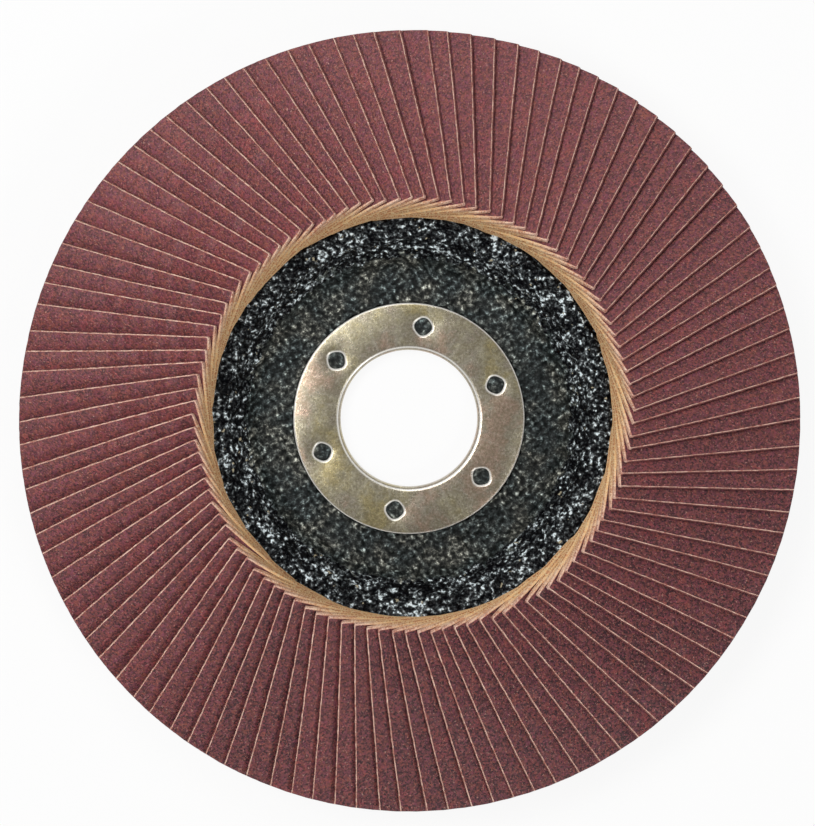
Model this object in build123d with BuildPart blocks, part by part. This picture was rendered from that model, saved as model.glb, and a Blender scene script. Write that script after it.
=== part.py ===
from build123d import *
import os
from math import asin, cos, degrees, radians, sin, sqrt, tan

# Flap disc for an angle grinder, conical form, lying on its back.
# Millimetres. The origin is on the spindle axis, in the plane of the hub's back face.
# +Z points away from the grinder, towards the work.

# Driving dimensions: the disc
disc_diameter = 125.0
bore_diameter = 22.23
cone_angle = 10.5

# Driving dimensions: the pressed steel centre flange
flange_diameter = 37.5
flange_thickness = 0.8
flange_lip = 0.6
flange_proud = 0.2
neck_setback = 0.3
hole_count = 6
hole_size = 2.9
hole_corner = 0.8
hole_circle_diameter = 30.1
first_hole_angle = 21.2

# Driving dimensions: the moulded backing plate
plate_diameter = 112.0
plate_thickness = 2.8
hub_flat_diameter = 48.0
hub_bend_radius = 2.5
crown_diameter = 60.0
crown_height = 9.0
crown_bend_radius = 4.0

# Driving dimensions: the adhesive
bed_thickness = 1.0
bed_inner_diameter = 54.4
bed_outer_diameter = 109.0
bead_height = 1.1
bead_setback = 0.8

# Driving dimensions: the flaps
flap_count = 106
flaps_per_node = 2
flap_thickness = 0.8
flap_width = 17.0
flap_length = 31.0
flap_skew = 10.7
flap_inner_diameter = 63.4
first_flap_angle = 2.86

# Clearances
neck_clearance = 0.05
recess_clearance = 0.1
nest_clearance = 0.08
foot_clearance = 0.05
bead_clearance = 0.1

# Radii and heights that follow from them
disc_radius = disc_diameter / 2
bore_radius = bore_diameter / 2
flange_radius = flange_diameter / 2
neck_radius = bore_radius + flange_thickness
hub_front = plate_thickness
flange_front = hub_front + flange_proud
flange_back = flange_front - flange_thickness
plate_radius = plate_diameter / 2
hub_flat_radius = hub_flat_diameter / 2
crown_radius = crown_diameter / 2
bed_inner_radius = bed_inner_diameter / 2
bed_outer_radius = bed_outer_diameter / 2
flap_inner_radius = flap_inner_diameter / 2
bead_radius = flap_inner_radius - bead_clearance
slope = radians(cone_angle)


def land_point(radius):
    """Point of the section on the plate's conical front, outside the crown."""
    return (radius, crown_height - (radius - crown_radius) * tan(slope))


def wall_point(radius):
    """Point of the section on the plate's front, on the wall between the hub and the crown."""
    share = (radius - hub_flat_radius) / (crown_radius - hub_flat_radius)
    return (radius, hub_front + share * (crown_height - hub_front))


def seat_point(radius):
    """Point of the section on the adhesive's conical top, where the flaps stand."""
    return (radius, land_point(radius)[1] + bed_thickness)


def bend(before, corner, after, radius):
    """The two ends of the flat that a bend of this radius leaves across a corner."""
    arm_in = (Vector(before) - Vector(corner)).normalized()
    arm_out = (Vector(after) - Vector(corner)).normalized()
    reach = radius / tan(radians(arm_in.get_angle(arm_out)) / 2)
    return [Vector(corner) + arm_in * reach, Vector(corner) + arm_out * reach]


hub_corner = (hub_flat_radius, hub_front)
crown_corner = (crown_radius, crown_height)
plate_mouth = (neck_radius + neck_clearance, hub_front)
plate_rim = land_point(plate_radius)
crown_bend = bend(hub_corner, crown_corner, plate_rim, crown_bend_radius)

# Centre flange: one pressing, a flat ring whose neck turns down through the bore
with BuildPart() as centre_flange:
    with BuildSketch(Plane.XZ):
        with BuildLine():
            Polyline(
                (bore_radius, neck_setback),
                (bore_radius, flange_front),
                (flange_radius, flange_front),
                (flange_radius, flange_back),
                (neck_radius, flange_back),
                (neck_radius, neck_setback),
                close=True,
            )
        make_face()
    revolve(axis=Axis.Z)
    chamfer(centre_flange.edges().group_by(Axis.Z)[-1].sort_by(Edge.length)[0], flange_lip)
    # Pierced holes, squares with cut corners and a diagonal along the radius, where resin grips
    with BuildSketch(Plane.XY.offset(flange_front)) as holes:
        with PolarLocations(hole_circle_diameter / 2, hole_count, first_hole_angle):
            Rectangle(hole_size, hole_size, rotation=45)
        chamfer(holes.vertices(), hole_corner)
    extrude(amount=-flange_thickness, mode=Mode.SUBTRACT)
centre_flange.part.label = "centre_flange"

# Backing plate: glass cloth and resin pressed to one thickness, with hub, wall, crown and conical land
with BuildPart() as backing_plate:
    with BuildSketch(Plane.XZ):
        with BuildLine():
            Polyline(
                plate_mouth,
                *bend(plate_mouth, hub_corner, crown_corner, hub_bend_radius),
                *crown_bend,
                plate_rim,
            )
            offset(amount=plate_thickness, side=Side.RIGHT, kind=Kind.INTERSECTION)
        make_face()
    revolve(axis=Axis.Z)
    # The flange is pressed into the hub
    with BuildSketch(Plane.XY.offset(flange_back)):
        Circle(flange_radius + recess_clearance)
        Circle(neck_radius + neck_clearance, mode=Mode.SUBTRACT)
    extrude(amount=plate_thickness, mode=Mode.SUBTRACT)
backing_plate.part.label = "backing_plate"

# Flap: a square-cut strip of abrasive cloth. It stands in the adhesive on one long edge and leans
# back over the flap before it, as far as the flaps' thickness needs at the inner end of the nest.
pitch = 360 / flap_count
lean = asin((flap_thickness + nest_clearance) / (flap_inner_diameter / 2 * radians(pitch)))
down_slope = Vector(cos(slope), 0, -sin(slope))
off_slope = Vector(sin(slope), 0, cos(slope))
up_flap = off_slope * sin(lean) - Vector(0, cos(lean), 0)
foot_y = flap_width * cos(lean) - flap_skew
foot_x = sqrt(flap_inner_radius**2 - foot_y**2)
foot_z = seat_point(flap_inner_radius)[1] + foot_clearance

with BuildPart() as flap:
    with BuildSketch(Plane(origin=(foot_x, foot_y, foot_z), x_dir=up_flap, z_dir=-down_slope)):
        Rectangle(flap_width, flap_thickness, align=(Align.MIN, Align.MIN))
    extrude(amount=-flap_length)
    # The rim is trimmed round after the flaps are glued. On one flap that is two flats: the first is
    # one pitch wide, where the flap shows, and the second reaches its foot under the next flaps.
    trim_start = degrees(-asin(flap_skew / disc_radius))
    trim_end = degrees(asin((foot_y + flap_thickness) / disc_radius))
    with BuildSketch():
        with BuildLine():
            Polyline(
                (0, -disc_radius),
                Vector(disc_radius, 0).rotate(Axis.Z, trim_start),
                Vector(disc_radius, 0).rotate(Axis.Z, trim_start + pitch),
                Vector(disc_radius, 0).rotate(Axis.Z, trim_end),
                (0, disc_radius),
                close=True,
            )
        make_face()
    extrude(amount=foot_z + flap_width, mode=Mode.INTERSECT)

# Adhesive: a cured ring over wall, crown and land, squeezed up as a bead before the inner feet
with BuildPart() as adhesive_bed:
    bead_top = seat_point(bead_radius)[1] + bead_height
    with BuildSketch(Plane.XZ):
        with BuildLine():
            Polyline(
                wall_point(bed_inner_radius),
                *crown_bend,
                land_point(bed_outer_radius),
                seat_point(bed_outer_radius),
                seat_point(bead_radius),
                (bead_radius - bead_setback, bead_top),
                close=True,
            )
        make_face()
    revolve(axis=Axis.Z)
adhesive_bed.part.label = "adhesive_bed"

os.makedirs("parts", exist_ok=True)
export_step(centre_flange.part, "parts/centre_flange.step")
export_step(backing_plate.part, "parts/backing_plate.step")
export_step(adhesive_bed.part, "parts/adhesive_bed.step")

for node in range(flap_count // flaps_per_node):
    first_angle = first_flap_angle + node * flaps_per_node * pitch
    with BuildPart() as flap_pair:
        with PolarLocations(0, flaps_per_node, first_angle, flaps_per_node * pitch):
            add(flap.part)
    flap_pair.part.label = f"flap_pair_{node + 1:02d}"
    export_step(flap_pair.part, f"parts/{flap_pair.part.label}.step")
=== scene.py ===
# %% [markdown]
# This file dresses a flap disc for an angle grinder: a steel centre flange, a pressed glass-fibre
# plate, a ring of black adhesive and 106 overlapping flaps of abrasive cloth. The solid model of the
# same disc is loaded first and stays where it is. Everything made below sits exactly on it.

# %% Load the solid model
import random
from math import asin, atan2, cos, degrees, e, pi, radians, sin, sqrt, tan

import bmesh
import bpy
from mathutils import Euler, Matrix, Vector, noise


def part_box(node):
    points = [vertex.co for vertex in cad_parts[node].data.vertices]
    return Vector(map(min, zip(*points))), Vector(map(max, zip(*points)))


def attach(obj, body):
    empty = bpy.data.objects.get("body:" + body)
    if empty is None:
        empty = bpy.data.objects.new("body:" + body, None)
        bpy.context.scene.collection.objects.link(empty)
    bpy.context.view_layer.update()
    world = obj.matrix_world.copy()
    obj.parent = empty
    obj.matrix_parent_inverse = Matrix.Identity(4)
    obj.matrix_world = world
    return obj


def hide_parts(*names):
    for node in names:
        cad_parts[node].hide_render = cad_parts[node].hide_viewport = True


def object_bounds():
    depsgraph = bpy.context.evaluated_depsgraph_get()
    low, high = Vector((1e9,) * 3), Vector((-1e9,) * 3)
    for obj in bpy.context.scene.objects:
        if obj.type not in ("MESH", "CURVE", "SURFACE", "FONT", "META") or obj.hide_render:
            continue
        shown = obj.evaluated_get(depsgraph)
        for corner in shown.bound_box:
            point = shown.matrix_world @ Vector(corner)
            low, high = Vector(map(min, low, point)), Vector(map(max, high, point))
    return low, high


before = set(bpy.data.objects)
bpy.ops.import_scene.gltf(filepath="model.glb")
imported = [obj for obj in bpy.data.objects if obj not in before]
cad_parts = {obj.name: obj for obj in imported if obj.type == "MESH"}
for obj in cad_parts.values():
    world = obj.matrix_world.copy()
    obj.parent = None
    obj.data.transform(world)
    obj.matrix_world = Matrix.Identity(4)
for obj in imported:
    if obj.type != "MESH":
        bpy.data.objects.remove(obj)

cad_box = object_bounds()
mm = 0.001
print("The solid model has", len(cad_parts), "nodes, inside", cad_box)

# %% [markdown]
# The photograph was taken from nearly straight above with a long lens, so the round rim stays round.
# A camera 0.55 m over the disc, leant back by two degrees, gives the same small perspective. The
# centre, the radius and the height of the rim's circle fix the aim and the scale.

# %% Camera
frame_width, frame_height = 815, 826
rim_pixel = Vector((408.97, 420.31))
rim_radius_pixels = 391.4
disc_radius = cad_box[1][0]
rim_top = 11.4 * mm
camera_distance = 0.55
camera_tilt = radians(1.8)
sensor = 36.0

metres_per_pixel = disc_radius / rim_radius_pixels
camera_data = bpy.data.cameras.new("photo_camera")
camera_data.sensor_width = sensor
camera_data.lens = sensor * camera_distance / (metres_per_pixel * max(frame_width, frame_height))
camera_data.clip_start = 0.05
camera = bpy.data.objects.new("photo_camera", camera_data)
bpy.context.scene.collection.objects.link(camera)
bpy.context.scene.camera = camera

aim = Vector((
    -(rim_pixel.x - frame_width / 2) * metres_per_pixel,
    (rim_pixel.y - frame_height / 2) * metres_per_pixel,
    rim_top,
))
camera.rotation_euler = (-camera_tilt, 0, 0)
camera.location = aim + Vector((0, sin(camera_tilt), cos(camera_tilt))) * camera_distance
print("Lens", round(camera_data.lens, 1), "mm")

# %% [markdown]
# Shader maths is easier to read as arithmetic than as a list of nodes. `Value` wraps one socket, and
# its operators add Math nodes. `Finish` is one material. Its `add` method makes any other node: the
# settings come first, because a node's mode decides which sockets it has.

# %% Shader helpers
class Value:
    """A socket that can stand in a Python expression."""

    def __init__(self, finish, socket):
        self.finish = finish
        self.socket = socket

    def maths(self, operation, first, second=0.0):
        return self.finish.add("ShaderNodeMath", {"operation": operation}, {0: first, 1: second})

    def __add__(self, other):
        return self.maths("ADD", self, other)

    def __radd__(self, other):
        return self.maths("ADD", other, self)

    def __sub__(self, other):
        return self.maths("SUBTRACT", self, other)

    def __rsub__(self, other):
        return self.maths("SUBTRACT", other, self)

    def __mul__(self, other):
        return self.maths("MULTIPLY", self, other)

    def __rmul__(self, other):
        return self.maths("MULTIPLY", other, self)

    def __rpow__(self, other):
        return self.maths("POWER", other, self)

    def at_most(self, other):
        return self.maths("MINIMUM", self, other)


class Finish:
    """One procedural material and the nodes that it is made of."""

    def __init__(self, name):
        self.material = bpy.data.materials.new(name)
        self.material.use_nodes = True
        self.tree = self.material.node_tree
        self.shader = self.tree.nodes["Principled BSDF"]

    def add(self, kind, settings=None, inputs=None, output=0):
        """Adds a node, sets its modes, then its sockets, and returns one output as a Value."""
        node = self.tree.nodes.new(kind)
        for name, value in (settings or {}).items():
            if name == "stops":
                self.fill_ramp(node.color_ramp, value)
            else:
                setattr(node, name, value)
        for name, value in (inputs or {}).items():
            self.feed(node.inputs[name], value)
        return Value(self, node.outputs[output])

    def fill_ramp(self, ramp, stops):
        """Gives a colour ramp its stops, each a position and a colour."""
        while len(ramp.elements) < len(stops):
            ramp.elements.new(0.5)
        for element, (position, colour) in zip(ramp.elements, stops):
            element.position = position
            element.color = (*colour, 1)

    def feed(self, socket, value):
        """Links a Value to a socket, or sets the socket to a number or a colour."""
        if isinstance(value, Value):
            self.tree.links.new(value.socket, socket)
        elif isinstance(value, tuple) and len(value) == 3 and len(socket.default_value) == 4:
            socket.default_value = (*value, 1)
        else:
            socket.default_value = value

    def principled(self, **values):
        """Feeds the material's own shader. Underscores stand for spaces."""
        for name, value in values.items():
            self.feed(self.shader.inputs[name.replace("_", " ")], value)

    def place(self):
        """Object coordinates in metres."""
        return self.add("ShaderNodeTexCoord", output="Object")

    def attribute(self, name):
        """A number stored on the mesh."""
        return self.add("ShaderNodeAttribute", {"attribute_name": name}, output="Fac")

    def noise(self, where, size, detail=2.0, roughness=0.5):
        """Soft noise whose blotches are about this size in metres."""
        inputs = {"Vector": where, "Scale": 1 / size, "Detail": detail, "Roughness": roughness}
        return self.add("ShaderNodeTexNoise", None, inputs)

    def cells(self, where, size, output="Distance"):
        """Cells about this size in metres: the distance to their middles, or their random colours."""
        inputs = {"Vector": where, "Scale": 1 / size}
        return self.add("ShaderNodeTexVoronoi", {"feature": "F1"}, inputs, output)

    def channel(self, colour, name):
        """Red, Green or Blue of a colour."""
        return self.add("ShaderNodeSeparateColor", None, {"Color": colour}, name)

    def part(self, vector, name):
        """X, Y or Z of a vector."""
        return self.add("ShaderNodeSeparateXYZ", None, {"Vector": vector}, name)

    def blend(self, share, first, second):
        """Mixes two colours."""
        settings = {"data_type": "RGBA"}
        return self.add("ShaderNodeMix", settings, {0: share, 6: first, 7: second}, 2)

    def between(self, value, low, high):
        """0 below low, 1 above high, and a straight ramp in between."""
        settings = {"clamp": True}
        inputs = {"Value": value, "From Min": low, "From Max": high}
        return self.add("ShaderNodeMapRange", settings, inputs)

    def bump(self, height, distance, strength=1.0):
        """Turns a height from 0 to 1 into relief of this depth in metres."""
        inputs = {"Height": height, "Distance": distance, "Strength": strength}
        return self.add("ShaderNodeBump", None, inputs)


print("Shader helpers are ready")

# %% [markdown]
# A flap is a strip of abrasive cloth: cotton and polyester cloth below, resin and grit above. It is
# cut square, stood in the adhesive on one long edge and leant back over the flap before it. The same
# sizes as in the solid model give each flap its own axes: along the flap, up across it and through it.

# %% Sizes of the flap ring
cone = radians(10.5)
flap_nodes = sorted(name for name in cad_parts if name.startswith("flap_pair"))
flaps_per_node = 2
flap_count = flaps_per_node * len(flap_nodes)
pitch = 2 * pi / flap_count
flap_width = 17.0 * mm
flap_room = 0.8 * mm
nest_clearance = 0.08 * mm
flap_skew = 10.7 * mm
foot_radius = 31.7 * mm
foot_clearance = 0.05 * mm
first_flap = radians(2.86)
lean = asin((flap_room + nest_clearance) / (foot_radius * pitch))

bed_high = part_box("adhesive_bed")[1]
bead_radius = foot_radius - 0.1 * mm
bead_height = 1.1 * mm
seat_at_foot = bed_high.z - bead_height - (foot_radius - bead_radius) * tan(cone)


def seat_height(radius):
    """Height of the adhesive's conical top, on which the flaps stand."""
    return seat_at_foot - (radius - foot_radius) * tan(cone)


print(flap_count, "flaps lean at", round(degrees(lean), 1), "degrees")

# %% [markdown]
# The flaps are glued by a machine, but cloth isn't exact. In the photograph the spacing and the skew
# drift slowly round the ring, the rim is trimmed a little out of centre, and each flap differs from
# the next. A few sine and cosine terms give the drift. A seeded random walk gives the rest, and each
# step keeps a share of the one before, so neighbours look alike.

# %% Uneven places of the flaps
station_radius = 38.3 * mm
station_drift = {
    "cos": radians(0.51), "sin": radians(-1.67), "cos2": radians(-0.09), "sin2": radians(-0.12),
}
skew_drift = {"cos": -1.04 * mm, "sin": 1.58 * mm, "cos2": 0.0, "sin2": 0.23 * mm}
foot_inset = {"cos": 0.74 * mm, "sin": 0.05 * mm, "cos2": 0.0, "sin2": 0.0}
corner_inset = {"cos": 1.12 * mm, "sin": 0.2 * mm, "cos2": 0.0, "sin2": 0.0}
trim_drift = {"cos": 0.07 * mm, "sin": -0.40 * mm, "cos2": 0.0, "sin2": 0.0}
mean_trim = 0.07 * mm
mean_foot_inset = 0.46 * mm
mean_corner_inset = -0.40 * mm
wander_limit = 2.2


def drift(terms, angle):
    """The slow part of a variation round the ring."""
    once = terms["cos"] * cos(angle) + terms["sin"] * sin(angle)
    twice = terms["cos2"] * cos(2 * angle) + terms["sin2"] * sin(2 * angle)
    return once + twice


def wander(dice, spread, memory):
    """One random number for each flap, each partly its neighbour's."""
    values = [dice.gauss(0, 1)]
    while len(values) < flap_count:
        values.append(memory * values[-1] + sqrt(1 - memory**2) * dice.gauss(0, 1))
    return [spread * max(-wander_limit, min(wander_limit, value)) for value in values]


dice = random.Random(5)
station_wander = wander(dice, radians(0.13), 0.45)
turn_wander = wander(dice, radians(0.65), 0.6)
inset_wander = wander(dice, 0.14 * mm, 0.2)
lean_wander = wander(dice, radians(0.25), 0.3)
tone_wander = wander(dice, 1.0, 0.3)

mean_turn = asin(flap_skew / station_radius)
flap_places = []
for index in range(flap_count):
    station = first_flap - mean_turn + index * pitch
    skew = flap_skew + drift(skew_drift, station) + station_radius * sin(turn_wander[index])
    station += drift(station_drift, station) + station_wander[index]
    direction = station + asin(skew / station_radius)
    foot_end = mean_foot_inset + drift(foot_inset, station) + inset_wander[index]
    corner_end = mean_corner_inset + drift(corner_inset, station) + inset_wander[index]
    flap_places.append((direction, skew, foot_end, corner_end))
print("Flap skews run from", round(min(p[1] for p in flap_places) / mm, 1), "to",
      round(max(p[1] for p in flap_places) / mm, 1), "mm")

# %% [markdown]
# One flap starts as a flat grid, which `create_grid` makes. Each point then moves to its place on the
# leaning strip, whose outer end is cut to the rim's circle. Cloth isn't stiff, so the free edge sinks
# on to the next flap towards the rim. Two extrusions give the cloth its thickness, and the fibres
# between them swell out of the cut. Stored numbers say how far through the cloth a point lies, how
# dark the flap is, at random and by painted shade on the lower right of the disc, how much of its cut
# carries dust with painted fill light, and a UV map lays the weave along the flap.

# %% Flap builder
cloth_thickness = 0.72 * mm
steps_along = 56
steps_across = 6
rim_taper = 0.115
rim_rise = 2.2 * mm
rim_foot = 10.4 * mm
sprung_side = radians(48)
sprung_focus = 4
sprung_taper = 1.8
seed_step = 7.3
grit_slot, back_slot, edge_slot = 0, 1, 2


def flap_axes(direction, skew, this_lean):
    """Foot corner and the three axes of a flap: along, up across and through."""
    down_slope = Vector((cos(cone), 0, -sin(cone)))
    off_slope = Vector((sin(cone), 0, cos(cone)))
    up_flap = off_slope * sin(this_lean) - Vector((0, cos(this_lean), 0))
    through = down_slope.cross(up_flap) * -1
    if through.z < 0:
        through.negate()
    foot_y = flap_width * cos(this_lean) - skew
    foot_x = sqrt(foot_radius**2 - foot_y**2)
    foot = Vector((foot_x, foot_y, seat_height(foot_radius) + foot_clearance))
    turn = Matrix.Rotation(direction, 3, "Z")
    return turn @ foot, turn @ down_slope, turn @ up_flap, turn @ through


def length_to_rim(start, along, radius):
    """How far it is from a point, along a direction, to the rim's cylinder."""
    a = along.x**2 + along.y**2
    b = start.x * along.x + start.y * along.y
    c = start.x**2 + start.y**2 - radius**2
    return (sqrt(b * b - a * c) - b) / a


def trim_radius(height, station):
    """Radius of the trimmed rim. It tapers upwards, or widens where the flaps sprang back."""
    sprung = max(0.0, cos(station - sprung_side)) ** sprung_focus
    above = min(max(height - rim_foot, 0.0), rim_rise)
    trimmed = disc_radius + mean_trim + drift(trim_drift, station)
    return trimmed - rim_taper * above * (1 - sprung_taper * sprung)


def waviness(x, y, seed):
    """Smooth noise from -1 to 1 on a strip, different for each seed."""
    return noise.noise(Vector((x, y, seed_step * seed)))


print("A flap has", steps_along * steps_across, "faces on each side")

# %% [markdown]
# The cut edges carry the look of the whole ring. The knife leaves the grit a little short of the
# cloth, so a pale line of bared fibres shows at each edge. It is broader on the inner ends, where the
# cloth was torn and soaked, and on the side of the disc that the photograph shows more worn. There the
# lower layers lie further back. On the other side, where the cuts face away from the lamps, dust lies
# on them, painted a maroon lighter than the grit: painted fill light for the shade those faces are in.

# %% Wear of the cut edges, painted shade and painted fill light
ripple_length, ripple_width = 9 * mm, 7 * mm
ripple_at_foot, ripple_at_rim = 0.05 * mm, 0.12 * mm
fray_length = 0.8 * mm
fibre_length = 0.6 * mm
fibre_swelling = 0.8
droop = 1.2 * mm
droop_along, droop_across = 1.2, 4
fray = 0.06 * mm
corner_wear = 0.14 * mm
crest_depth = 0.72
bared_edge = 0.09 * mm
undercut_least, undercut_most = 0.02 * mm, 0.26 * mm
bared_corner = 0.32 * mm
bared_foot = 1.5 * mm
worn_side = radians(215)
# Painted shade: the grit is darker towards the lower right of the disc and lighter towards the upper
# left, by this gain.
shaded_side = radians(300)
worn_gain = 0.35
side_shade_gain = 4.3
# How far round the disc the cuts carry dust with painted fill light.
dust_and_fill_reach = 0.6


def end_slope(width):
    """How far the grit stops short of the cloth's inner end, at this height on the flap."""
    return bared_foot + (bared_corner - bared_foot) * width / flap_width


print("The pale line is about", round(bared_edge / mm, 2), "mm wide")

# %% Build one flap
def extrude_layer(bm, faces, shift, keep):
    """Extrudes faces through the cloth. Returns the new faces and their points."""
    made = bmesh.ops.extrude_face_region(bm, geom=faces, use_keep_orig=keep)["geom"]
    verts = [item for item in made if isinstance(item, bmesh.types.BMVert)]
    bmesh.ops.translate(bm, verts=verts, vec=shift)
    return [item for item in made if isinstance(item, bmesh.types.BMFace)], verts


def build_flap(bm, index):
    """Adds one flap to a bmesh, in its place on the disc."""
    direction, skew, foot_end, corner_end = flap_places[index]
    foot, along, up, through = flap_axes(direction, skew, lean + lean_wander[index])
    worn = cos(direction - worn_side)
    bared = bared_edge * (1 + worn_gain * worn)
    undercut_share = min(1.0, max(0.0, worn_gain + worn))
    undercut = undercut_least + (undercut_most - undercut_least) * undercut_share
    stored = bm.verts.layers.float
    depth_layer, tone_and_shade_layer, dust_and_fill_layer = stored["depth"], stored["tone"], stored["dust"]
    length_layer, width_layer = stored["length"], stored["width"]
    grid = bmesh.ops.create_grid(bm, x_segments=steps_along, y_segments=steps_across, size=0.5)
    sheet = grid["verts"]
    for vert in sheet:
        share_along, share_across = vert.co.x + 0.5, vert.co.y + 0.5
        width = share_across * flap_width
        inset = foot_end + (corner_end - foot_end) * share_across
        start = foot + up * width + through * cloth_thickness
        end_height = start.z + along.z * length_to_rim(start, along, disc_radius)
        reach = length_to_rim(start, along, trim_radius(end_height, atan2(start.y, start.x)))
        length = inset + share_along * (reach - inset)
        ripple = waviness(length / ripple_length, width / ripple_width, index) * share_across
        ripple_depth = ripple_at_foot + ripple_at_rim * share_along
        point = start + along * length + through * ripple_depth * ripple
        on_top, on_end = share_across > 0.999, share_along < 0.001
        if on_top:
            point += up * (fray * waviness(length / fray_length, 3.1, index) - bared)
        if on_end:
            point += along * (fray * waviness(width / fray_length, 9.7, index) + end_slope(width))
        if on_top and on_end:
            point += (along - up) * corner_wear
        point.z -= droop * share_along**droop_along * share_across**droop_across
        vert.co = point
        vert[depth_layer] = 1.0
        # The tone differs at random from flap to flap, plus painted shade that darkens the lower right
        # of the disc.
        vert[tone_and_shade_layer] = tone_wander[index] + side_shade_gain * cos(direction - shaded_side)
        # Dust with painted fill light goes on the cuts that face away from the lamps.
        vert[dust_and_fill_layer] = min(1.0, max(0.0, dust_and_fill_reach - worn))
        vert[length_layer], vert[width_layer] = length - inset, width
    grit_faces = list({face for vert in sheet for face in vert.link_faces})
    to_crest = -through * cloth_thickness * (1 - crest_depth)
    to_back = -through * cloth_thickness * crest_depth
    crest_faces, crest_verts = extrude_layer(bm, grit_faces, to_crest, True)
    back_faces, back_verts = extrude_layer(bm, crest_faces, to_back, False)
    crest_verts = [vert for vert in crest_verts if vert.is_valid]
    for verts, depth, pulled_in in ((crest_verts, crest_depth, 0.0), (back_verts, 0.0, undercut)):
        for vert in verts:
            length, width = vert[length_layer], vert[width_layer]
            vert[depth_layer] = depth
            swelling = waviness(length / fibre_length, width / fibre_length, index)
            uneven = 1 + fibre_swelling * swelling
            if width > flap_width * 0.999:
                vert.co += up * (bared * uneven - pulled_in)
            if length < 0.01 * mm:
                vert.co -= along * (end_slope(width) + 2 * fray * (uneven - 1))
    flap_faces = {face for vert in sheet + back_verts for face in vert.link_faces}
    for face in flap_faces:
        face.material_index = edge_slot
    for face in grit_faces:
        face.material_index = grit_slot
    for face in back_faces:
        face.material_index = back_slot
    weave = bm.loops.layers.uv["weave"]
    for face in flap_faces:
        for loop in face.loops:
            loop[weave].uv = (loop.vert[length_layer], loop.vert[width_layer])
    bmesh.ops.recalc_face_normals(bm, faces=list(flap_faces))


print("Flap builder is ready")

# %% [markdown]
# Every finished piece goes through the same last steps: its bmesh becomes an object at the origin
# with its finishes, its sharp corners stay sharp while the rest is shaded smooth, it rides on the
# disc's body, and the solids that it stands for are hidden.

# %% Finish a piece
def finish_piece(bm, name, finishes, nodes, sharp=40):
    """Makes a bmesh a named object that rides on the disc and stands for some solids."""
    mesh = bpy.data.meshes.new(name)
    bm.to_mesh(mesh)
    bm.free()
    for finish in finishes:
        mesh.materials.append(finish.material)
    mesh.shade_smooth()
    mesh.set_sharp_from_angle(angle=radians(sharp))
    piece = bpy.data.objects.new(name, mesh)
    bpy.context.scene.collection.objects.link(piece)
    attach(piece, "root")
    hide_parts(*nodes)
    return piece


print("Pieces can be finished")

# %% [markdown]
# The grit is crushed brown aluminium oxide of about 0.25 mm under a maroon size coat. Voronoi cells
# of that size give each grain its own tone and its own little hill, and broad noise makes the coat
# uneven. The relief is bump only: a quarter of a million real grains would add nothing at this scale.

# %% Grit finish
grain = 0.26 * mm


def grit_finish():
    """Maroon size coat over brown grains."""
    finish = Finish("maroon_grit")
    place = finish.place()
    grains = finish.cells(place, grain, output="Color")
    grain_tone = finish.channel(grains, "Red")
    grain_hue = finish.channel(grains, "Green")
    hill = 1 - finish.cells(place, grain)
    hues = finish.noise(place, 2.0 * mm, detail=5, roughness=0.7)
    reds = finish.noise(place, 3.1 * mm, detail=5, roughness=0.7)
    specks = finish.noise(place, 0.30 * mm, detail=2)
    hue = finish.between(hues * 0.6 + grain_hue * 0.4, 0.30, 0.70)
    coat = finish.blend(hue, (0.217, 0.053, 0.083), (0.293, 0.081, 0.058))
    coat = finish.blend(finish.between(reds, 0.52, 0.70) * 0.5, coat, (0.40, 0.070, 0.070))
    # Grain and flap tone at random, plus painted shade that darkens the grit towards the lower right
    # of the disc.
    tone_and_side_shade = grain_tone * 0.90 + finish.attribute("tone") * 0.035
    coat = finish.blend(finish.between(tone_and_side_shade, 0.0, 1.0), coat, (0.035, 0.010, 0.014))
    coat = finish.blend(finish.between(specks, 0.62, 0.76) * 0.6, coat, (0.66, 0.38, 0.30))
    relief = finish.bump(hill * 0.6 + specks * 0.4, 0.12 * mm, 0.8)
    finish.principled(Base_Color=coat, Roughness=0.62, Normal=relief)
    return finish


print("Grit grains are", grain / mm, "mm")

# %% [markdown]
# The cut edges show the cloth's own fibres, pale and fuzzy, with a thin maroon line of grit on one
# side. On the inner ends the adhesive has soaked in and turned them golden brown. The stored depth
# tells cloth from grit, and noise over that depth draws the layers that run along the cut. Dust makes
# the lower layers maroon on the cuts that face away from the lamps. That maroon is lighter than the
# grit's, as painted fill light for the shade on those faces.

# %% Cut edge finish
cloth_share = 0.95


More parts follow.
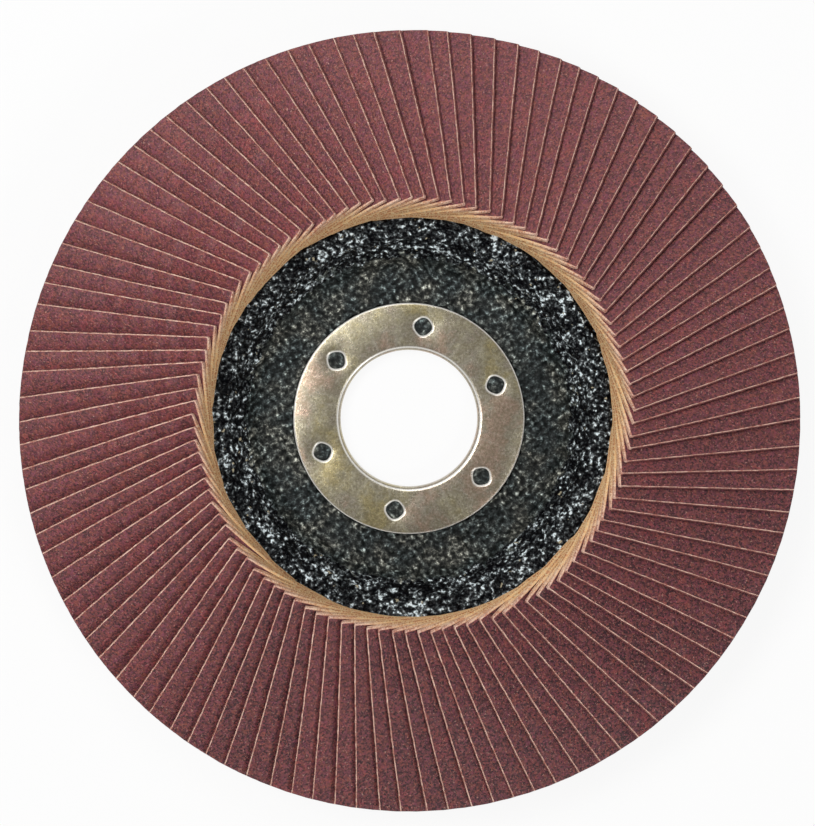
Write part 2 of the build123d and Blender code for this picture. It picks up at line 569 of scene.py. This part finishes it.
def edge_finish():
    """Cut cloth fibres with a line of grit."""
    finish = Finish("cut_cloth")
    place = finish.place()
    strip = finish.add("ShaderNodeUVMap", {"uv_map": "weave"})
    from_end, height = finish.part(strip, "X"), finish.part(strip, "Y")
    depth = finish.attribute("depth")
    near_end = finish.between(from_end, 2.6 * mm, 1.2 * mm)
    near_foot = finish.between(height, flap_width, 11 * mm)
    inner_end = near_end * near_foot
    fibres = finish.noise(place, 0.24 * mm, detail=3)
    clumps = finish.noise(place, 1.3 * mm, detail=3)
    layers = finish.add("ShaderNodeCombineXYZ", None, {"X": depth * 10, "Y": clumps * 2.5})
    lines = finish.noise(layers, 1.0, detail=2)
    pale = finish.between(fibres * 0.6 + clumps * 0.4, 0.40, 0.58)
    cut = finish.blend(pale, (0.50, 0.18, 0.13), (0.97, 0.68, 0.54))
    soaked = finish.blend(finish.between(lines, 0.36, 0.46), (0.62, 0.22, 0.08), (1.0, 0.60, 0.27))
    soaked = finish.blend(finish.between(fibres, 0.48, 0.58), soaked, (1.0, 0.74, 0.42))
    pink = finish.between(fibres * 0.5 + clumps * 0.5, 0.48, 0.38)
    soaked = finish.blend(pink * 0.5, soaked, (0.72, 0.27, 0.16))
    cloth = finish.blend(inner_end, cut, soaked)
    grit_line = finish.between(depth + (fibres - 0.5) * 0.25, cloth_share, cloth_share + 0.05)
    grit_colour = finish.blend(inner_end, (0.26, 0.075, 0.070), (0.30, 0.11, 0.05))
    colour = finish.blend(grit_line, cloth, grit_colour)
    # Dust with painted fill light: the lower layers of cuts that face away from the lamps take a
    # maroon lighter than the grit, to make up for their shade.
    low = finish.between(depth, crest_depth + 0.02, crest_depth - 0.12)
    off_end = finish.between(from_end, 0.4 * mm, 0.8 * mm)
    dust_and_fill_share = finish.attribute("dust") * low * off_end
    dust = finish.blend(finish.between(fibres, 0.40, 0.60), (0.15, 0.05, 0.05), (0.36, 0.125, 0.12))
    colour = finish.blend(dust_and_fill_share, colour, dust)
    relief = finish.bump(fibres, 0.06 * mm, 0.6)
    finish.principled(Base_Color=colour, Roughness=0.8, Normal=relief)
    return finish


print("Cloth is", cloth_share, "of a flap's thickness")

# %% [markdown]
# The back of each flap is the finished side of the cloth, a tan twill stiffened with resin. Two
# wave textures on the flap's own UV map cross each other to make the twill. The back shows between
# the flaps at the rim and on the underside.

# %% Cloth back finish
yarn = 0.55 * mm
bands_per_yarn = 0.31


def back_finish():
    """Tan resin-filled twill."""
    finish = Finish("tan_cloth_back")
    strip = finish.add("ShaderNodeUVMap", {"uv_map": "weave"})
    bands = {"Vector": strip, "Scale": bands_per_yarn / yarn}
    diagonal = {"wave_type": "BANDS", "bands_direction": "DIAGONAL"}
    twill = finish.add("ShaderNodeTexWave", diagonal, bands, "Fac")
    upright = {"wave_type": "BANDS", "bands_direction": "X"}
    warp = finish.add("ShaderNodeTexWave", upright, bands, "Fac")
    stains = finish.noise(finish.place(), 5 * mm, detail=3)
    height = twill * 0.6 + warp * 0.4
    cloth = finish.blend(stains, (0.42, 0.19, 0.09), (0.62, 0.33, 0.17))
    cloth = finish.blend(finish.between(height, 0.1, 0.5), (0.20, 0.08, 0.04), cloth)
    relief = finish.bump(height, 0.08 * mm, 0.7)
    finish.principled(Base_Color=cloth, Roughness=0.7, Normal=relief)
    return finish


print("Twill yarns are", yarn / mm, "mm apart")

# %% Make the flap ring
flap_finishes = [grit_finish(), back_finish(), edge_finish()]


def make_flap_pair(node, first):
    """The flaps of one node, as one piece."""
    bm = bmesh.new()
    for layer in ("depth", "tone", "dust", "length", "width"):
        bm.verts.layers.float.new(layer)
    bm.loops.layers.uv.new("weave")
    for index in range(first, first + flaps_per_node):
        build_flap(bm, index)
    return finish_piece(bm, "cloth_" + node, flap_finishes, [node], sharp=55)


flap_pieces = [make_flap_pair(node, n * flaps_per_node) for n, node in enumerate(flap_nodes)]
print(len(flap_pieces), "pieces of", len(flap_pieces[0].data.polygons), "faces")

# %% [markdown]
# The centre flange is pressed from sheet steel. Its neck turns down through the bore with a rolled
# lip, and six rounded-square holes are pierced so that resin can grip it. A flat ring with holes is
# quickest filled between loops of edges. Each loop is then carried on, step by step, round its edge.

# %% Flange sizes and loops
flange_low, flange_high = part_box("centre_flange")
flange_radius = flange_high.x
flange_top = flange_high.z
neck_bottom = flange_low.z
sheet_thickness = 0.8 * mm
bore_radius = 11.115 * mm
lip_radius = 0.85 * mm
rim_rounding = 0.30 * mm
hole_count = 6
hole_circle_radius = 15.05 * mm
first_hole = radians(21.2)
hole_half = 1.72 * mm
hole_squareness = 2.6
hole_rounding = 0.38 * mm
# Painted highlight on the flange's rounded edges: how far below the top it becomes full, the band of
# the lip it covers, and its share there and on the rest of the lip.
highlight_depth = 0.04 * mm
lip_highlight_band = 0.03 * mm, 0.2 * mm
lip_highlight, faint_lip_highlight = 0.9, 0.1
ring_segments = 180
hole_segments = 40


def carry_loop(bm, edges):
    """Extrudes a loop of edges without moving it. Returns the new loop and its points."""
    carried = bmesh.ops.extrude_edge_only(bm, edges=edges)["geom"]
    verts = [item for item in carried if isinstance(item, bmesh.types.BMVert)]
    new = set(verts)
    edges = [item for item in carried if isinstance(item, bmesh.types.BMEdge)]
    return [edge for edge in edges if new.issuperset(edge.verts)], verts


def carry_ring(bm, edges, radius, height):
    """Carries a circle of edges round the axis on to another radius and height."""
    edges, verts = carry_loop(bm, edges)
    for vert in verts:
        vert.co = Vector((*(vert.co.xy.normalized() * radius), height))
    return edges


def quarter_turn(steps):
    """Angles of a rounded edge, from its start to its end."""
    return [pi / 2 * (step + 1) / steps for step in range(steps)]


print("The flange lies between", round(neck_bottom / mm, 2), "and", round(flange_top / mm, 2), "mm")

# %% Make the flange
def circle_loop(bm, radius, height, segments):
    """A circle of edges round the axis."""
    made = bmesh.ops.create_circle(bm, segments=segments, radius=radius)["verts"]
    bmesh.ops.translate(bm, verts=made, vec=(0, 0, height))
    return list({edge for vert in made for edge in vert.link_edges})


def hole_loop(bm, number):
    """A rounded square of edges with one diagonal along the radius."""
    made = bmesh.ops.create_circle(bm, segments=hole_segments, radius=1.0)["verts"]
    angle = first_hole + number * 2 * pi / hole_count
    centre = Vector((cos(angle), sin(angle), 0)) * hole_circle_radius + Vector((0, 0, flange_top))
    for vert in made:
        around = atan2(vert.co.y, vert.co.x)
        squared = abs(cos(around))**hole_squareness + abs(sin(around))**hole_squareness
        reach = squared ** (-1 / hole_squareness)
        turned = around + angle + pi / 4
        vert.co = centre + Vector((cos(turned), sin(turned), 0)) * reach * hole_half
    return list({edge for vert in made for edge in vert.link_edges}), centre


def roll_hole(bm, edges, centre):
    """Rolls the edge of a hole down into the sheet."""
    half = hole_half
    about_centre = Matrix.Translation(-centre)
    for angle in quarter_turn(5):
        edges, verts = carry_loop(bm, edges)
        shrunk = hole_half - hole_rounding * sin(angle)
        ratio = shrunk / half
        bmesh.ops.scale(bm, verts=verts, vec=(ratio, ratio, 1), space=about_centre)
        for vert in verts:
            vert.co.z = flange_top - hole_rounding * (1 - cos(angle))
        half = shrunk
    verts = carry_loop(bm, edges)[1]
    for vert in verts:
        vert.co.z = flange_top - sheet_thickness


def make_flange():
    """The pressed steel flange."""
    bm = bmesh.new()
    outer = circle_loop(bm, flange_radius - rim_rounding, flange_top, ring_segments)
    inner = circle_loop(bm, bore_radius + lip_radius, flange_top, ring_segments)
    holes = [hole_loop(bm, number) for number in range(hole_count)]
    loops = outer + inner + [edge for edges, centre in holes for edge in edges]
    bmesh.ops.triangle_fill(bm, use_beauty=True, edges=loops, normal=(0, 0, 1))
    for angle in quarter_turn(5):
        height = flange_top - rim_rounding * (1 - cos(angle))
        outer = carry_ring(bm, outer, flange_radius - rim_rounding * (1 - sin(angle)), height)
    for angle in quarter_turn(8):
        height = flange_top - lip_radius * (1 - cos(angle))
        inner = carry_ring(bm, inner, bore_radius + lip_radius * (1 - sin(angle)), height)
    underside = flange_top - sheet_thickness
    neck_radius = bore_radius + sheet_thickness
    outer = carry_ring(bm, outer, flange_radius, underside)
    outer = carry_ring(bm, outer, neck_radius, underside)
    inner = carry_ring(bm, inner, bore_radius, neck_bottom)
    inner = carry_ring(bm, inner, neck_radius, neck_bottom)
    bmesh.ops.bridge_loops(bm, edges=outer + inner)
    for edges, centre in holes:
        roll_hole(bm, edges, centre)
    # A stored number marks the painted highlight: full on the rounded outer edge and the rims of the
    # holes, strong on a thin line of the lip and faint on the rest of it.
    edge_highlight_layer = bm.verts.layers.float.new("burr")
    for vert in bm.verts:
        on_lip = vert.co.xy.length < bore_radius + lip_radius
        drop = flange_top - vert.co.z
        in_lip_highlight_band = lip_highlight_band[0] < drop < lip_highlight_band[1]
        lip_shine = lip_highlight if in_lip_highlight_band else faint_lip_highlight
        vert[edge_highlight_layer] = lip_shine if on_lip else min(1.0, drop / highlight_depth)
    bmesh.ops.recalc_face_normals(bm, faces=bm.faces)
    return bm


print("The flange is a ring with", hole_count, "holes")

# %% [markdown]
# The steel is zinc plated and yellow passivated. The film is a few hundred nanometres thick, so its
# colour drifts in soft patches of olive, grey and pink. The rims of the holes, the outer edge and a
# line on the lip carry a painted highlight, a pale and less metallic colour that stands in for the
# light these rounded edges reflect, and a stored number marks it. Handling leaves hairline scratches,
# which are stretched noise in the bump.

# %% Steel finish
def steel_finish():
    """Zinc with a thin yellow film, and painted highlights on its rounded edges."""
    finish = Finish("yellow_zinc")
    place = finish.place()
    film = finish.noise(place, 9 * mm, detail=6, roughness=0.65)
    spangle = finish.noise(place, 0.9 * mm, detail=5, roughness=0.8)
    flecks = finish.noise(place, 0.32 * mm, detail=3, roughness=0.7)
    grime = finish.noise(place, 4 * mm, detail=5, roughness=0.7)
    stretching = {"Vector": place, "Rotation": (0, 0, 0.6), "Scale": (1, 0.05, 1)}
    stretched = finish.add("ShaderNodeMapping", None, stretching)
    scratches = finish.noise(stretched, 0.16 * mm, detail=3, roughness=0.7)
    olive, straw = (0.68, 0.57, 0.29), (0.66, 0.60, 0.42)
    grey, pink = (0.55, 0.49, 0.39), (0.68, 0.49, 0.38)
    stops = [(0.38, olive), (0.46, straw), (0.54, grey), (0.62, pink)]
    colour = finish.add("ShaderNodeValToRGB", {"stops": stops}, {"Fac": film})
    colour = finish.blend(finish.between(spangle, 0.40, 0.62) * 0.6, colour, (0.22, 0.18, 0.12))
    colour = finish.blend(finish.between(grime, 0.58, 0.72) * 0.4, colour, (0.18, 0.14, 0.09))
    colour = finish.blend(finish.between(flecks, 0.54, 0.40) * 0.55, colour, (0.24, 0.20, 0.12))
    colour = finish.blend(finish.between(flecks, 0.54, 0.68) * 0.35, colour, (0.86, 0.80, 0.62))
    # Painted highlight: the rounded edges take a pale, nearly white colour with little metal, which
    # stands in for the light they reflect.
    burr = finish.attribute("burr")
    colour = finish.blend(burr, colour, (0.94, 0.93, 0.88))
    relief = finish.bump(scratches * 0.6 + spangle * 0.4, 0.02 * mm, 0.6)
    metal = 1 - burr * 0.9
    roughness = 0.19 + spangle * 0.18
    finish.principled(Base_Color=colour, Metallic=metal, Roughness=roughness, Normal=relief)
    return finish


flange = finish_piece(
    make_flange(), "pressed_flange", [steel_finish()], ["centre_flange"], sharp=50)
print("The flange has", len(flange.data.polygons), "faces")

# %% [markdown]
# The backing plate is glass cloth soaked in black resin and pressed between hot dies. Its section is
# one line of even thickness: hub, wall, crown and conical land. A short function walks along such a
# line with its bends rounded, and `spin` turns the closed section round the axis.

# %% Plate section
plate_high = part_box("backing_plate")[1]
plate_radius = plate_high.x
plate_thickness = 2.8 * mm
hub_radius = 24.0 * mm
hub_height = 2.8 * mm
crown_radius = 30.0 * mm
crown_height = 9.0 * mm
hub_bend = 2.5 * mm
crown_bend = 4.0 * mm
mouth_radius = bore_radius + sheet_thickness + 0.05 * mm
recess_radius = flange_radius + 0.1 * mm
recess_floor = flange_top - sheet_thickness - 0.02 * mm


def walk(points, bends, step):
    """Points at about even steps along a line of (radius, height) whose corners are rounded."""
    path = [Vector(points[0])]
    for before, corner, after, bend in zip(points, points[1:], points[2:], bends):
        before, corner, after = Vector(before), Vector(corner), Vector(after)
        arm_in, arm_out = (before - corner).normalized(), (after - corner).normalized()
        half = arm_in.angle(arm_out) / 2
        start, end = corner + arm_in * bend / tan(half), corner + arm_out * bend / tan(half)
        centre = corner + (arm_in + arm_out).normalized() * bend / sin(half)
        turns = max(2, round(bend * (pi - 2 * half) / step))
        path.append(start)
        for turn in range(1, turns):
            chord = start.lerp(end, turn / turns) - centre
            path.append(centre + chord.normalized() * bend)
        path.append(end)
    path.append(Vector(points[-1]))
    return spread(path, step)


def spread(path, step):
    """Adds points so that no piece of a path is longer than a step."""
    points = [path[0]]
    for start, end in zip(path, path[1:]):
        parts = max(1, round((end - start).length / step))
        points += [start.lerp(end, part / parts) for part in range(1, parts + 1)]
    return points


def normals_along(path):
    """The upward normal at each point of a path that runs outwards."""
    normals = []
    for index in range(len(path)):
        ahead = path[min(index + 1, len(path) - 1)] - path[max(index - 1, 0)]
        normals.append(Vector((-ahead.y, ahead.x)).normalized())
    return normals


plate_line = [
    (recess_radius, hub_height),
    (hub_radius, hub_height),
    (crown_radius, crown_height),
    (plate_radius, crown_height - (plate_radius - crown_radius) * tan(cone)),
]
print("The plate is", round(plate_radius * 2 / mm, 1), "mm across")

# %% Spin a section
def spin_section(section, segments):
    """Turns a closed section of (radius, height) points round the axis."""
    bm = bmesh.new()
    verts = [bm.verts.new((point.x, 0, point.y)) for point in section]
    edges = [bm.edges.new((a, b)) for a, b in zip(verts, verts[1:] + verts[:1])]
    bmesh.ops.spin(bm, geom=verts + edges, cent=(0, 0, 0), axis=(0, 0, 1), angle=2 * pi,
                   steps=segments, use_merge=True)
    bmesh.ops.recalc_face_normals(bm, faces=bm.faces)
    bm.normal_update()
    return bm


print("Sections can be spun")

# %% [markdown]
# The glass cloth is a plain weave of thick, loosely twisted yarns. It is pressed into both faces, so
# its relief is real geometry: at each point the higher of the two yarns wins, and each yarn rises and
# dips as it crosses the next. Slow noise bends the yarns, fine noise makes them fuzzy, and resin
# drowns them here and there.

# %% Weave relief
glass_yarn = 1.42 * mm
weave_angle = radians(41)
weave_relief = 0.5 * mm
weave_rest = 0.9
bend_length = 7 * mm
yarn_sharpness = 2.15
lowest_yarn = 0.35
fuzz_size = 0.7 * mm
pool_size = 4.5 * mm


def yarn_height(across, along, phase):
    """Height from 0 to 1 of one yarn system: a round ridge that rises and dips."""
    place = across - round(across)
    ridge = max(0.0, 1 - (yarn_sharpness * place) ** 2)
    swing = 0.5 + 0.5 * cos(pi * (along + round(across) + phase))
    return sqrt(ridge) * (lowest_yarn + (1 - lowest_yarn) * swing)


def yarn_shift(slow, quick):
    """How far a yarn is pushed out of line, by a slow bend and a quick one."""
    return glass_yarn * (1.1 * noise.noise(slow) + 0.25 * noise.noise(quick))


def weave_height(x, y):
    """Height from 0 to 1 of the plain weave under its resin."""
    bent = Vector((x, y, 0)) / bend_length
    x += yarn_shift(bent, bent * 5)
    y += yarn_shift(bent + Vector((0, 0, 5.5)), -bent * 5)
    u = (x * cos(weave_angle) + y * sin(weave_angle)) / glass_yarn
    v = (y * cos(weave_angle) - x * sin(weave_angle)) / glass_yarn
    cloth = max(yarn_height(u, v, 0), yarn_height(v, u, 1))
    fuzz = noise.fractal(Vector((x, y, 3)) / fuzz_size, 0.6, 2.1, 3)
    drowned = min(1.0, max(0.0, 1.4 * noise.noise(Vector((x, y, 9)) / pool_size) + 0.25))
    return cloth * (1 - 0.5 * drowned) + 0.25 * fuzz + 0.25 * drowned


print("Yarns are", glass_yarn / mm, "mm apart")

# %% Make the plate
plate_segments = 640
front_step = 0.28 * mm
back_step = 1.0 * mm
hidden_step = 1.2 * mm
seen_radius = 28.5 * mm
pad_radius = 1.75 * mm
pad_slope = 0.35 * mm
pad_rise, pad_unevenness = 0.45 * mm, 0.12 * mm
pad_lumps = 0.6 * mm
pad_yarn = 0.7


def thin_out(path, step):
    """Keeps the ends of a path and the points that are a step or more apart."""
    kept = [path[0]]
    for point in path[1:-1]:
        if (point - kept[-1]).length > step:
            kept.append(point)
    return kept + [path[-1]]


def plate_section():
    """Closed section of the plate: front outwards, rim, back inwards, and the recess."""
    front = walk(plate_line, [hub_bend, crown_bend], front_step)
    normals = normals_along(front)
    back = [point - normal * plate_thickness for point, normal in zip(front, normals)]
    back_line = thin_out(back, back_step)
    seen = [point for point in front if point.x < seen_radius]
    front_line = seen + thin_out(front[len(seen):], hidden_step)
    mouth = [Vector((mouth_radius, 0)), Vector((mouth_radius, recess_floor))]
    back_disc = spread([back_line[0], mouth[0]], back_step)[1:]
    recess = spread([mouth[1], Vector((recess_radius, recess_floor))], front_step)
    return front_line + back_line[::-1] + back_disc + recess


def pad_height(x, y):
    """How far resin has risen from the recess into the pierced holes."""
    highest = 0.0
    for number in range(hole_count):
        angle = first_hole + number * 2 * pi / hole_count
        away = (Vector((x, y)) - Vector((cos(angle), sin(angle))) * hole_circle_radius).length
        highest = max(highest, min(1.0, max(0.0, (pad_radius - away) / pad_slope)))
    return highest * (pad_rise + pad_unevenness * noise.noise(Vector((x, y, 0)) / pad_lumps))


def make_plate():
    """The pressed glass-fibre plate with its weave."""
    bm = spin_section(plate_section(), plate_segments)
    yarn_layer = bm.verts.layers.float.new("yarn")
    for vert in bm.verts:
        x, y, z = vert.co
        radius = sqrt(x * x + y * y)
        if radius < recess_radius - 0.01 * mm and abs(z - recess_floor) < 0.01 * mm:
            vert.co.z += pad_height(x, y)
            vert[yarn_layer] = pad_yarn
        elif radius > mouth_radius + 0.2 * mm and radius < plate_radius - 0.3 * mm:
            vert[yarn_layer] = weave_height(x, y)
            vert.co += vert.normal * weave_relief * (vert[yarn_layer] - weave_rest)
            vert.co.z = max(vert.co.z, 0.0)
    return bm


print("The plate is spun in", plate_segments, "steps")

# %% [markdown]
# Black resin shows the glass only where the resin is thin. How much of it shows grows by the same
# factor from step to step, not by the same amount, so most of the face is nearly black and a few
# places are nearly white. A power of e gives that, with the relief and two noises in its exponent.

# %% Plate finish
def plate_finish():
    """Glass cloth in matt black resin."""
    finish = Finish("glass_cloth_in_resin")
    place = finish.place()
    specks = finish.noise(place, 0.70 * mm, detail=4, roughness=0.7)
    patches = finish.noise(place, 4 * mm, detail=3)
    height = finish.attribute("yarn")
    tone = (height - 0.8) * 3.6 + (specks - 0.5) * 15 + (patches - 0.5) * 3
    bared = 0.052 * e ** tone
    warmth = finish.between(patches, 0.40, 0.60)
    glass = finish.blend(warmth, (0.74, 0.92, 0.92), (0.90, 0.92, 0.80))
    colour = finish.blend(bared, (0.001, 0.002, 0.002), glass)
    relief = finish.bump(specks, 0.25 * mm, 0.8)
    finish.principled(Base_Color=colour, Roughness=0.36 + patches * 0.2, Normal=relief)
    finish.principled(Specular_IOR_Level=0.15)
    return finish


plate = finish_piece(
    make_plate(), "pressed_plate", [plate_finish()], ["backing_plate"], sharp=60)
print("The plate has", len(plate.data.polygons), "faces")

# %% [markdown]
# The adhesive is a filled epoxy. It foams a little as it cures, so the bead before the feet of the
# flaps is a crowd of glossy lumps and burst bubbles. Pale blue-white specks on them are painted
# glints, which stand in for the lamps' reflections on the lumps. The section follows the plate below
# and the conical seat above. Lumps, bubbles and a slow swell, which are cell noise at two sizes and
# soft noise, push the front in and out by up to half a millimetre.

# %% Make the adhesive
bead_segments = 1000
bead_step = 0.17 * mm
bed_outer_radius = bed_high.x
bed_inner_radius = 26.0 * mm
bed_sink = 0.25 * mm
bead_relief = 0.45 * mm
lump_size, bubble_size, swell_size = 1.2 * mm, 0.6 * mm, 3.5 * mm
seat_start = foot_radius + 5 * mm


def land_height(radius):
    """Height of the plate's conical front."""
    return crown_height - (radius - crown_radius) * tan(cone)


def wall_height(radius):
    """Height of the plate's front on the wall between hub and crown."""
    share = (radius - hub_radius) / (crown_radius - hub_radius)
    return hub_height + share * (crown_height - hub_height)


def bead_lumps(place):
    """Relief from about -1 to 1: round lumps, small bubbles and a slow swell."""
    lumps = 1 - 2.2 * noise.voronoi(place / lump_size)[0][0]
    bubbles = 1 - 2.2 * noise.voronoi(place / bubble_size + Vector((5, 5, 5)))[0][0]
    swelling = noise.noise(place / swell_size)
    return 0.5 * lumps + 0.3 * bubbles + 0.6 * swelling


def adhesive_section():
    """Closed section: plate side outwards below, seat and bead inwards above."""
    plate_front = [
        (bed_inner_radius, wall_height(bed_inner_radius)),
        (crown_radius, crown_height),
        (bed_outer_radius, land_height(bed_outer_radius)),
    ]
    below = [point - Vector((0, bed_sink)) for point in walk(plate_front, [crown_bend], 2 * mm)]
    bead_front = [
        (bed_inner_radius, below[0].y + 0.1 * mm),
        (crown_radius - 1.0 * mm, crown_height + 0.2 * mm),
        (foot_radius + 0.3 * mm, seat_at_foot + bead_height * 0.8),
        (foot_radius + 1.2 * mm, seat_at_foot),
    ]
    front = walk(bead_front, [1.0 * mm, 0.6 * mm], bead_step)
    seat = [Vector((radius, seat_height(radius))) for radius in (bed_outer_radius, seat_start)]
    return below + seat + front[::-1]


def make_adhesive():
    """The ring of cured adhesive with its lumpy bead."""
    bm = spin_section(adhesive_section(), bead_segments)
    for vert in bm.verts:
        if vert.co.xy.length < foot_radius + 0.7 * mm and vert.normal.z > 0:
            vert.co += vert.normal * bead_relief * bead_lumps(vert.co)
    return bm


def adhesive_finish():
    """Glossy black epoxy with painted glints and a few pale specks."""
    finish = Finish("black_epoxy")
    place = finish.place()
    ripples = finish.noise(place, 0.8 * mm, detail=1)
    glint_spots = finish.noise(place, 0.70 * mm, detail=2, roughness=0.6)
    glint_clusters = finish.noise(place, 2.6 * mm, detail=1)
    # Painted glints: pale specks where the noise peaks grow by a power of e, and they stand in for
    # reflections of the lamps on the glossy lumps.
    painted_glints = 0.022 * e ** ((glint_spots - 0.5) * 22 + (glint_clusters - 0.5) * 7)
    rare = finish.noise(place, 1.2 * mm, detail=2)
    colour = finish.blend(painted_glints, (0.001, 0.001, 0.002), (0.84, 0.95, 0.99))
    colour = finish.blend(finish.between(rare, 0.70, 0.74), colour, (0.45, 0.40, 0.28))
    relief = finish.bump(ripples, 0.5 * mm, 1.0)
    finish.principled(Base_Color=colour, Roughness=0.16, Specular_IOR_Level=0.08, Normal=relief)
    return finish


adhesive = finish_piece(
    make_adhesive(), "cured_adhesive", [adhesive_finish()], ["adhesive_bed"], sharp=80)
print("The adhesive has", len(adhesive.data.polygons), "faces")

# %% [markdown]
# The photograph is a product picture on white, so the floor is a plain pale plane that the camera
# sees as nearly white, with a faint shadow. Two soft lamps stand high at the left and the upper left.
# They catch the cut edges that face them and leave the others in shade. A small one puts sparks on the
# glossy bead, and a weak low one fills the inner ends that face away from the first two.

# %% Floor and light
floor_half = 1.5
floor_whiteness = 0.9


def make_floor():
    """A pale floor that keeps a soft shadow."""
    bm = bmesh.new()
    bmesh.ops.create_grid(bm, x_segments=1, y_segments=1, size=floor_half)
    mesh = bpy.data.meshes.new("floor")
    bm.to_mesh(mesh)
    bm.free()
    floor = bpy.data.objects.new("floor", mesh)
    bpy.context.scene.collection.objects.link(floor)
    finish = Finish("white_floor")
    finish.principled(Base_Color=(0.86, 0.86, 0.86), Roughness=0.9)
    camera_ray = finish.add("ShaderNodeLightPath", output="Is Camera Ray")
    glossy_ray = finish.add("ShaderNodeLightPath", output="Is Glossy Ray")
    through_ray = finish.add("ShaderNodeLightPath", output="Is Transmission Ray")
    seen = (camera_ray + glossy_ray + through_ray).at_most(1)
    white = finish.add("ShaderNodeEmission", None, {"Color": (1.0, 1.0, 1.0), "Strength": 1.0})
    lit = Value(finish, finish.shader.outputs[0])
    shares = {0: seen * floor_whiteness, 1: lit, 2: white}
    mixed = finish.add("ShaderNodeMixShader", None, shares)
    finish.feed(finish.tree.nodes["Material Output"].inputs["Surface"], mixed)
    mesh.materials.append(finish.material)


def make_lamp(name, azimuth, from_zenith, distance, size, power):
    """A square area lamp that points at the disc. Angles are in degrees, power in watts."""
    away = Vector((0, 0, distance))
    away.rotate(Euler((0, radians(from_zenith), radians(azimuth))))
    data = bpy.data.lights.new(name, "AREA")
    data.size = size
    data.energy = power
    lamp = bpy.data.objects.new(name, data)
    bpy.context.scene.collection.objects.link(lamp)
    lamp.location = away
    lamp.rotation_euler = (-away).to_track_quat("-Z", "Y").to_euler()


print("The floor shows white at", floor_whiteness)

# %% Set up floor, lamps and world
make_floor()
make_lamp("key", 160, 27, 0.55, 0.22, 1.35)
make_lamp("top", 105, 34, 0.55, 0.25, 0.75)
make_lamp("spark", 330, 22, 0.65, 0.05, 0.15)
make_lamp("fill", 312, 52, 1.0, 0.3, 2.7)

world = bpy.data.worlds.new("studio")
bpy.context.scene.world = world
world.use_nodes = True
background = world.node_tree.nodes["Background"]
background.inputs["Color"].default_value = (1, 1, 1, 1)
background.inputs["Strength"].default_value = 0.18
bpy.context.scene.view_settings.view_transform = "Standard"
print("Four lamps and a pale world")
